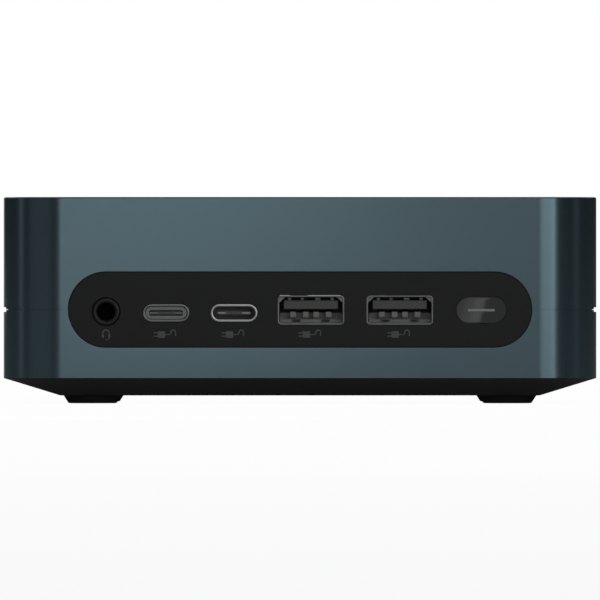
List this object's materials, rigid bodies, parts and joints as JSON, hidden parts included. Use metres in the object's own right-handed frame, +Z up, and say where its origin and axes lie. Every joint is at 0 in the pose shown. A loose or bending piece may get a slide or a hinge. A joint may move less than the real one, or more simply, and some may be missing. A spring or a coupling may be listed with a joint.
{
  "type": "mini pc",
  "caption": "Small square desktop computer in a satin aluminium case on a tapered black base, with front and rear port panels, a sprung power button and a blower cooler.",
  "frame": {"origin": "on the desk, under the middle of the case", "axes": "+Z up; the front face with the power button looks along -Y; +X to the right, seen from the front"},
  "size_m": [0.117, 0.112, 0.0407],
  "materials": {
    "shell_aluminium": "bead-blasted and anodised, satin",
    "base_plastic": "fine moulded texture, matt",
    "panel_plastic": "fine satin",
    "button_plastic": "polished",
    "light_guide": "frosted clear",
    "foot_rubber": "matt",
    "screw_steel": "black oxide",
    "insert_brass": "turned and knurled",
    "port_steel": "nickel plated, satin",
    "jack_plastic": "satin",
    "tongue_plastic": "satin",
    "contact_gold": "gold plated",
    "pin_steel": "plated",
    "lamp_clear": "clear",
    "board_green": "solder mask",
    "chip_black": "moulded",
    "choke_grey": "pressed powder",
    "can_aluminium": "drawn",
    "cell_steel": "rolled",
    "socket_plastic": "moulded",
    "copper": "satin",
    "fin_aluminium": "stamped sheet",
    "fan_plastic": "moulded",
    "coil_copper": "enamelled wire",
    "lead_black": "extruded"
  },
  "bodies": {
    "case": {"aerial_leads": "lead_black", "aerials": "copper", "base_cover": "base_plastic", "base_screws": "screw_steel", "board_chips": "chip_black", "board_standoffs": "insert_brass", "capacitors": "can_aluminium", "coin_cell": "cell_steel", "coin_cell_holder": "socket_plastic", "cooler_screws": "screw_steel", "dc_jack": "socket_plastic", "dc_pin": "pin_steel", "ethernet_contacts": "contact_gold", "ethernet_insert": "tongue_plastic", "ethernet_lamps": "lamp_clear", "ethernet_shield": "port_steel", "fan_coil": "coil_copper", "fan_cover": "fin_aluminium", "fan_housing": "fan_plastic", "fan_lead": "lead_black", "feet": "foot_rubber", "fin_stack": "fin_aluminium", "front_port_panel": "panel_plastic", "front_usb_a_shells": "port_steel", "front_usb_a_tongues": "tongue_plastic", "front_usb_c_shells": "port_steel", "front_usb_c_tongues": "tongue_plastic", "front_usb_contacts": "contact_gold", "hdmi_shell": "port_steel", "hdmi_tongue": "tongue_plastic", "headset_jack": "jack_plastic", "heat_pipes": "copper", "heat_spreader": "copper", "lower_shell": "shell_aluminium", "motherboard": "board_green", "mount_inserts": "insert_brass", "power_chokes": "choke_grey", "power_switch": "socket_plastic", "processor": "chip_black", "ram_latches": "port_steel", "ram_modules": "board_green", "ram_socket": "socket_plastic", "rear_port_panel": "panel_plastic", "rear_usb_a_shells": "port_steel", "rear_usb_a_tongues": "tongue_plastic", "rear_usb_c_shell": "port_steel", "rear_usb_c_tongue": "tongue_plastic", "rear_usb_contacts": "contact_gold", "shell_screws": "screw_steel", "ssd_card": "board_green", "ssd_screw": "screw_steel", "ssd_socket": "socket_plastic", "ssd_standoff": "insert_brass", "upper_shell": "shell_aluminium", "wifi_card": "board_green", "wifi_socket": "socket_plastic"},
    "power_button": {"power_button": "button_plastic", "button_light": "light_guide"},
    "switch_plunger": {"switch_plunger": "socket_plastic"},
    "fan_rotor": {"fan_rotor": "fan_plastic"}
  },
  "joints": [
    {"name": "power_button_press", "type": "slide", "parent": "case", "child": "power_button", "axis": [0, 1, 0], "range_m": [0, 0.0004], "stiffness_N_per_m": 1500},
    {"name": "switch_plunger_slide", "type": "slide", "parent": "case", "child": "switch_plunger", "axis": [0, 1, 0], "range_m": [0, 0.0004]},
    {"name": "fan_spin", "type": "hinge", "parent": "case", "child": "fan_rotor", "pos_m": [-0.018, 0, 0.03], "axis": [0, 0, 1], "continuous": true}
  ],
  "couplings": [
    {"joint": "switch_plunger_slide", "follows": "power_button_press", "ratio": 1}
  ]
}
